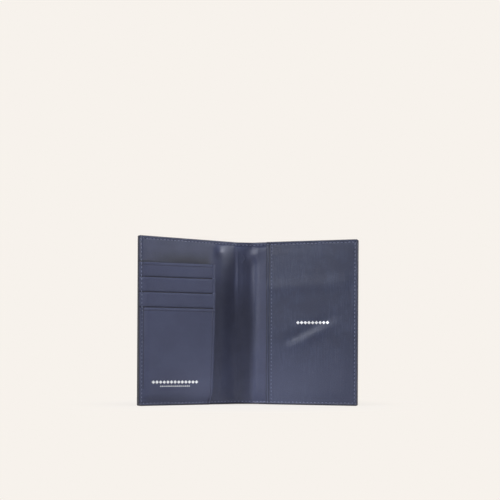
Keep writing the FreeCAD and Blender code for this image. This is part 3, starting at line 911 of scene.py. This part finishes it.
def make_backing():
    """The leather behind the card slots."""
    low, high = flat_box("flap_backing")
    card_piece("flap_backing_leather", Outline((low[0], high[0]), (low[2], high[2])), (), (),
               level_face(low[1]), level_face(high[1]), ["flap_backing"])


def make_turned_edge():
    """The turned border along the card panel's free side."""
    low, high = flat_box("flap_turned_border")
    outline = Outline((BORDER_START, high[0]), (low[2], high[2]), painted="t")
    middle = (BORDER_START + high[0]) / 2
    card_piece("flap_turned_edge", outline, ((middle, 1.2, 0.15),),
               tuple((mouth + 0.4, 1.2, 0.2) for mouth in (*MOUTHS[1:], POCKET_TOP)),
               lambda x, z: FACE - border_rise(z), level_face(FACE - BACKING_RISE - 0.01),
               ["flap_turned_border"], 0.8)


def make_front_pocket():
    """The leather of the front card pocket, sewn down along the cover's side and foot."""
    outline = Outline((-EDGE, PANEL_EDGE), (0.0, POCKET_TOP), corners=CORNER, painted="lbt")
    # the front card pocket gets painted shade along the turned border and below its mouth
    card_piece("front_pocket_leather", outline, SIDE_FINER + ((BORDER_START + 1.0, 1.8, 0.15),),
               SEAM_FINER + ((POCKET_TOP - 1.8, 1.8, 0.15),), front_pocket_face,
               behind(front_pocket_face, 0.8, 1.9),
               ["front_card_pocket", "card_panel_sewn_border"], 0.35, front_pocket_marks)


# ---------------- stitches

STITCH_PITCH = 3.2
STITCH_LENGTH = 2.1
STITCH_RADIUS = 0.3
STITCH_RINGS = 8
STITCH_SIDES = 8
SUNK_SIDE = {"left": 0.15, "right": 0.0}  # how deep each row of stitches is pulled in
SUNK_FOOT = 0.17
CLOTH_SEAM_UP = 0.9  # the row that closes a slot's cloth, above the cloth's end
SUNK_HEM = {"lower": 0.2, "upper": 0.16}


def inside_face(x, z):
    """Y of the leather that carries the inside seam at a place near an edge."""
    if x > POCKET_MOUTH:
        return pocket_front(x, z)
    if x < PANEL_EDGE and z < MOUTHS[0]:
        level = sum(z < mouth for mouth in (*MOUTHS[1:], POCKET_TOP))
        rise = (*BAND_RISE, FRONT_RISE)[level]
        return panel_layer(level, rise)(x, z)
    return lining_front(x, z)


def add_stitch(build, start, direction, face, facing, sunk=0.0):
    """One stitch: a plump stretch of thread that dives into the leather at both ends."""
    across = np.array([-direction[1], direction[0]])
    rings = []
    for ring in range(STITCH_RINGS + 1):
        t = ring / STITCH_RINGS
        place = start + direction * STITCH_LENGTH * t
        fat = STITCH_RADIUS * (0.45 + 0.55 * math.sin(math.pi * t) ** 0.5)
        rise = 0.16 * math.sin(math.pi * t) ** 0.6 - 0.1 - sunk
        surface = float(face(np.array([place[0]]), np.array([place[1]]))[0])
        for side in range(STITCH_SIDES):
            a = 2 * math.pi * side / STITCH_SIDES
            x, z = place + across * fat * math.cos(a)
            y = surface + facing * (rise + fat * math.sin(a) * 0.8)
            rings.append((x, y, z))
    faces = []
    for ring in range(STITCH_RINGS):
        for side in range(STITCH_SIDES):
            a, b = ring * STITCH_SIDES + side, ring * STITCH_SIDES + (side + 1) % STITCH_SIDES
            faces.append((a, b, b + STITCH_SIDES, a + STITCH_SIDES))
    last = STITCH_RINGS * STITCH_SIDES
    faces.append(tuple(reversed(range(STITCH_SIDES))))
    faces.append(tuple(range(last, last + STITCH_SIDES)))
    build.add(rings, faces)


def add_seam(build, start, end, face, facing, sunk=0.0):
    """A row of stitches from start to end, evenly spaced, each as (x, z)."""
    start, end = np.array(start, float), np.array(end, float)
    length = np.linalg.norm(end - start)
    direction = (end - start) / length
    count = round(length / STITCH_PITCH)
    for index in range(count):
        along = (index + 0.5) * length / count - STITCH_LENGTH / 2
        slant = 0.05 * math.sin(index * 2.3)
        leaning = direction + np.array([-direction[1], direction[0]]) * slant
        add_stitch(build, start + direction * along, leaning, face, facing, sunk)


def at_place(function):
    """A face that picks its leather by the place of one point."""
    return lambda x, z: function(x[0], z[0]) + np.zeros(1)


def make_seams():
    """The seam round the whole holder, as it shows inside and outside."""
    low, high = SEAM_IN, HEIGHT - SEAM_IN
    plans = (("inside", at_place(inside_face), -1), ("outside", outer_back, 1))
    for word, face, facing in plans:
        for side, hand in SIDES:
            corner = side * (EDGE - SEAM_IN)
            build = Build()
            add_seam(build, (0.0, high), (corner, high), face, facing)
            add_seam(build, (corner, high), (corner, low), face, facing, SUNK_SIDE[hand])
            add_seam(build, (corner, low), (0.0, low), face, facing, SUNK_FOOT)
            piece = make_piece(f"{word}_stitches_{hand}", build, "seam_thread")
            blend_cover(piece)
            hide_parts(f"spine_{word}_thread", f"{hand}_{word}_thread")
            if word == "inside":
                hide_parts("card_panel_thread" if side == LEFT else "passport_pocket_thread")


def make_hem_seam():
    """The row of stitches along the passport pocket's mouth, in a lower and an upper half."""
    for word, seam in (("lower", POCKET_SEAM), ("upper", HEIGHT - POCKET_SEAM)):
        build = Build()
        ends = ((HEM_SEAM, seam), (HEM_SEAM, HEIGHT / 2))
        add_seam(build, *ends, pocket_front, -1, SUNK_HEM[word])
        piece = make_piece(f"hem_stitches_{word}", build, "seam_thread")
        lift_with_pocket(piece, seam, "passport_pocket_hem_thread")


def make_cloth_seams():
    """The row of stitches that closes each slot's cloth."""
    build = Build()
    for slot in SLOTS:
        low, high = flat_box(f"{slot}_cloth")
        row = low[2] + CLOTH_SEAM_UP
        add_seam(build, (low[0] + 1, row), (high[0] - 1, row), level_face(low[1]), -1)
    piece = make_piece("slot_cloth_stitches", build, "seam_thread", on_flap=True)
    lift_with_flap(piece, "slot_cloth_threads")


# ---------------- foil marks

CARD_LOZENGES = 13
PASSPORT_LOZENGES = 9
LOZENGE_PITCH = 3.2
LOZENGE_RADIUS = 1.5
CARD_DOTS = 15
DOT_PITCH = 1.8
DOT_RADIUS = 0.65


def add_lozenge(build, x, z, radius, face):
    """One stamped lozenge with sloping sides, lying on a face."""
    corners = ((1, 0), (0, 1), (-1, 0), (0, -1))
    points = []
    for size, rise in ((radius, -0.03), (radius, 0.02), (radius * 0.9, 0.05)):
        for across, upward in corners:
            px, pz = x + across * size, z + upward * size
            points.append((px, float(face(np.array([px]), np.array([pz]))[0]) - rise, pz))
    faces = [(3, 2, 1, 0), (8, 9, 10, 11)]
    for ring in (0, 4):
        for i in range(4):
            j = (i + 1) % 4
            faces.append((ring + i, ring + j, ring + j + 4, ring + i + 4))
    build.add(points, faces, level=True)


def add_row(build, middle, z, count, pitch, radius, face):
    for index in range(count):
        add_lozenge(build, middle + (index - (count - 1) / 2) * pitch, z, radius, face)


def make_marks():
    """Plain rows of foil lozenges on the front card pocket and on the passport pocket."""
    low, high = flat_box("card_pocket_foil_mark")
    middle = (low[0] + high[0]) / 2
    large_row, small_row = high[2] - LOZENGE_RADIUS, low[2] + DOT_RADIUS
    build = Build()
    add_row(build, middle, large_row, CARD_LOZENGES, LOZENGE_PITCH, LOZENGE_RADIUS, soft_front)
    add_row(build, middle, small_row, CARD_DOTS, DOT_PITCH, DOT_RADIUS, soft_front)
    piece = make_piece("card_pocket_foil", build, "foil", on_flap=True)
    lift_with_flap(piece, "card_pocket_foil_mark")
    low, high = flat_box("passport_pocket_foil_mark")
    middle, row = (low[0] + high[0]) / 2, (low[2] + high[2]) / 2
    build = Build()
    add_row(build, middle, row, PASSPORT_LOZENGES, LOZENGE_PITCH, LOZENGE_RADIUS, pocket_front)
    piece = make_piece("passport_pocket_foil", build, "foil")
    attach(piece, "passport_pocket")
    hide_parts("passport_pocket_foil_mark")


# ---------------- floor, light and camera

BACKDROP = rgb(247, 242, 236)
FLOOR_RADIUS = 6.0


def make_stage(name, mesh, base, glow, even_from=None):
    """A piece of the studio that glows, so that it stays even and pale, and more so far out."""
    item = add_object(name, mesh)
    material = bpy.data.materials.new(name)
    material.use_nodes = True
    tree = material.node_tree
    shader = tree.nodes["Principled BSDF"]
    uniform = {"Base Color": base, "Roughness": 0.9, "Specular IOR Level": 0.0,
               "Emission Color": BACKDROP, "Emission Strength": glow}
    for socket, value in uniform.items():
        shader.inputs[socket].default_value = value
    if even_from:
        place = tree.nodes.new("ShaderNodeNewGeometry")
        distance = tree.nodes.new("ShaderNodeVectorMath")
        distance.operation = "LENGTH"
        tree.links.new(place.outputs["Position"], distance.inputs[0])
        for socket, near, far in (("Base Color", base[1], 0.0), ("Emission Strength", glow, 1.0)):
            spread = tree.nodes.new("ShaderNodeMapRange")
            spread.interpolation_type = "SMOOTHSTEP"
            ends = {"From Min": even_from[0], "From Max": even_from[1], "To Min": near, "To Max": far}
            for key, value in ends.items():
                spread.inputs[key].default_value = value
            tree.links.new(distance.outputs["Value"], spread.inputs["Value"])
            tree.links.new(spread.outputs["Result"], shader.inputs[socket])
    mesh.materials.append(material)
    return item


def make_studio():
    """A wide pale floor, a backdrop of its colour all round, and a dim room beyond it."""
    angles = np.linspace(0, 2 * math.pi, 96, endpoint=False)
    ring = [(FLOOR_RADIUS * math.cos(a), FLOOR_RADIUS * math.sin(a), 0.0) for a in angles]
    mesh = bpy.data.meshes.new("floor")
    mesh.from_pydata(ring, [], [tuple(range(len(ring)))])
    floor = make_stage("floor", mesh, FLOOR_BASE, FLOOR_GLOW, FLOOR_EVEN_FROM)
    floor.visible_diffuse = False
    around = len(ring)
    wall = ring + [(x, y, 2 * FLOOR_RADIUS) for x, y, _ in ring]
    sides = [(i, (i + 1) % around, (i + 1) % around + around, i + around) for i in range(around)]
    mesh = bpy.data.meshes.new("backdrop")
    mesh.from_pydata(wall, [], sides + [tuple(range(around, 2 * around))])
    backdrop = make_stage("backdrop", mesh, (0.0, 0.0, 0.0, 1.0), 1.0)
    backdrop.visible_diffuse = backdrop.visible_glossy = backdrop.visible_shadow = False
    world = bpy.data.worlds.new("studio")
    world.use_nodes = True
    room = world.node_tree.nodes["Background"].inputs
    room["Color"].default_value = (*LIGHT_COLOUR, 1.0)
    room["Strength"].default_value = ROOM_LIGHT
    bpy.context.scene.world = world


FLOOR_GLOW = 0.765
FLOOR_BASE = (0.19, 0.19, 0.19, 1.0)
FLOOR_EVEN_FROM = (0.05, 0.16)
ROOM_LIGHT = 0.24
LIGHT_DISTANCE = 1.6
LIGHT_COLOUR = (0.92, 0.945, 1.0)
SOFTBOXES = (
    # name, azimuth, elevation, width, height, power: azimuth 0 is the reader, 90 the right
    ("left_box", -58.0, 30.0, 0.2, 0.8, 23.0),
    ("right_box", 81.5, 22.0, 0.5, 0.7, 23.6),
    ("front_fill", -12.0, 38.0, 0.4, 0.4, 1.4),
)
SOFTBOX_AIM = 0.07  # the soft boxes point at the holder's middle height
BOUNCE_SIZE = (0.08, 0.03)
BOUNCE_PLACE = (0.0, -0.055, 0.002)
BOUNCE_TOWARD = (0.0, 1.0, 0.8)
BOUNCE_POWER = 0.018


def aim(direction):
    """Rotation that points a light's or a camera's -Z along a direction, upright."""
    across = math.atan2(-direction[0], direction[1])
    level = math.hypot(direction[0], direction[1])
    return (math.pi / 2 + math.atan2(direction[2], level), 0.0, across)


def area_light(name, size, power, place, toward):
    """A rectangular light at a place, that shines along a direction."""
    light = bpy.data.lights.new(name, "AREA")
    light.shape, light.size, light.size_y, light.energy = "RECTANGLE", *size, power
    light.color = LIGHT_COLOUR
    item = add_object(name, light)
    item.location = place
    item.rotation_euler = aim(toward)
    return item


def make_softboxes():
    """Soft boxes on the left, far round to the right and in front."""
    for name, azimuth, elevation, width, height, power in SOFTBOXES:
        a, e = math.radians(azimuth), math.radians(elevation)
        away = np.array([math.sin(a) * math.cos(e), -math.cos(a) * math.cos(e), math.sin(e)])
        place = away * LIGHT_DISTANCE + np.array([0.0, 0.0, SOFTBOX_AIM])
        area_light(name, (width, height), power, place, -away)


def make_bounce_card():
    """A small card low in front of the open holder, which lights the foot of its spine."""
    card = area_light("bounce_card", BOUNCE_SIZE, BOUNCE_POWER, BOUNCE_PLACE, BOUNCE_TOWARD)
    card.visible_camera = card.visible_glossy = False


CAMERA_DISTANCE = 0.85
CAMERA_AZIMUTH = -6.7
CAMERA_HEIGHT = 0.0377
CAMERA_LENS = 70.4
CAMERA_SENSOR = 36.0
CAMERA_ROLL = -0.3
SPINE_ACROSS = -0.0051
HORIZON_SHIFT = 0.221


def make_camera():
    """A level camera close to the floor, shifted up to put the holder in its lower half."""
    camera = add_object("camera", bpy.data.cameras.new("camera"))
    camera.data.lens, camera.data.sensor_width = CAMERA_LENS, CAMERA_SENSOR
    camera.data.shift_y = HORIZON_SHIFT
    a = math.radians(CAMERA_AZIMUTH)
    back = np.array([math.sin(a), -math.cos(a), 0.0])
    right = np.array([math.cos(a), math.sin(a), 0.0])
    level_place = back * CAMERA_DISTANCE - right * SPINE_ACROSS
    camera.location = level_place + np.array([0, 0, CAMERA_HEIGHT])
    camera.rotation_euler = (math.pi / 2, math.radians(CAMERA_ROLL), a)
    bpy.context.scene.camera = camera


bpy.context.scene.view_settings.view_transform = "Standard"
make_covers()
make_boards()
make_spine_tape()
make_passport_pocket()
make_slots()
make_backing()
make_turned_edge()
make_front_pocket()
make_seams()
make_hem_seam()
make_cloth_seams()
make_marks()
make_studio()
make_softboxes()
make_bounce_card()
make_camera()
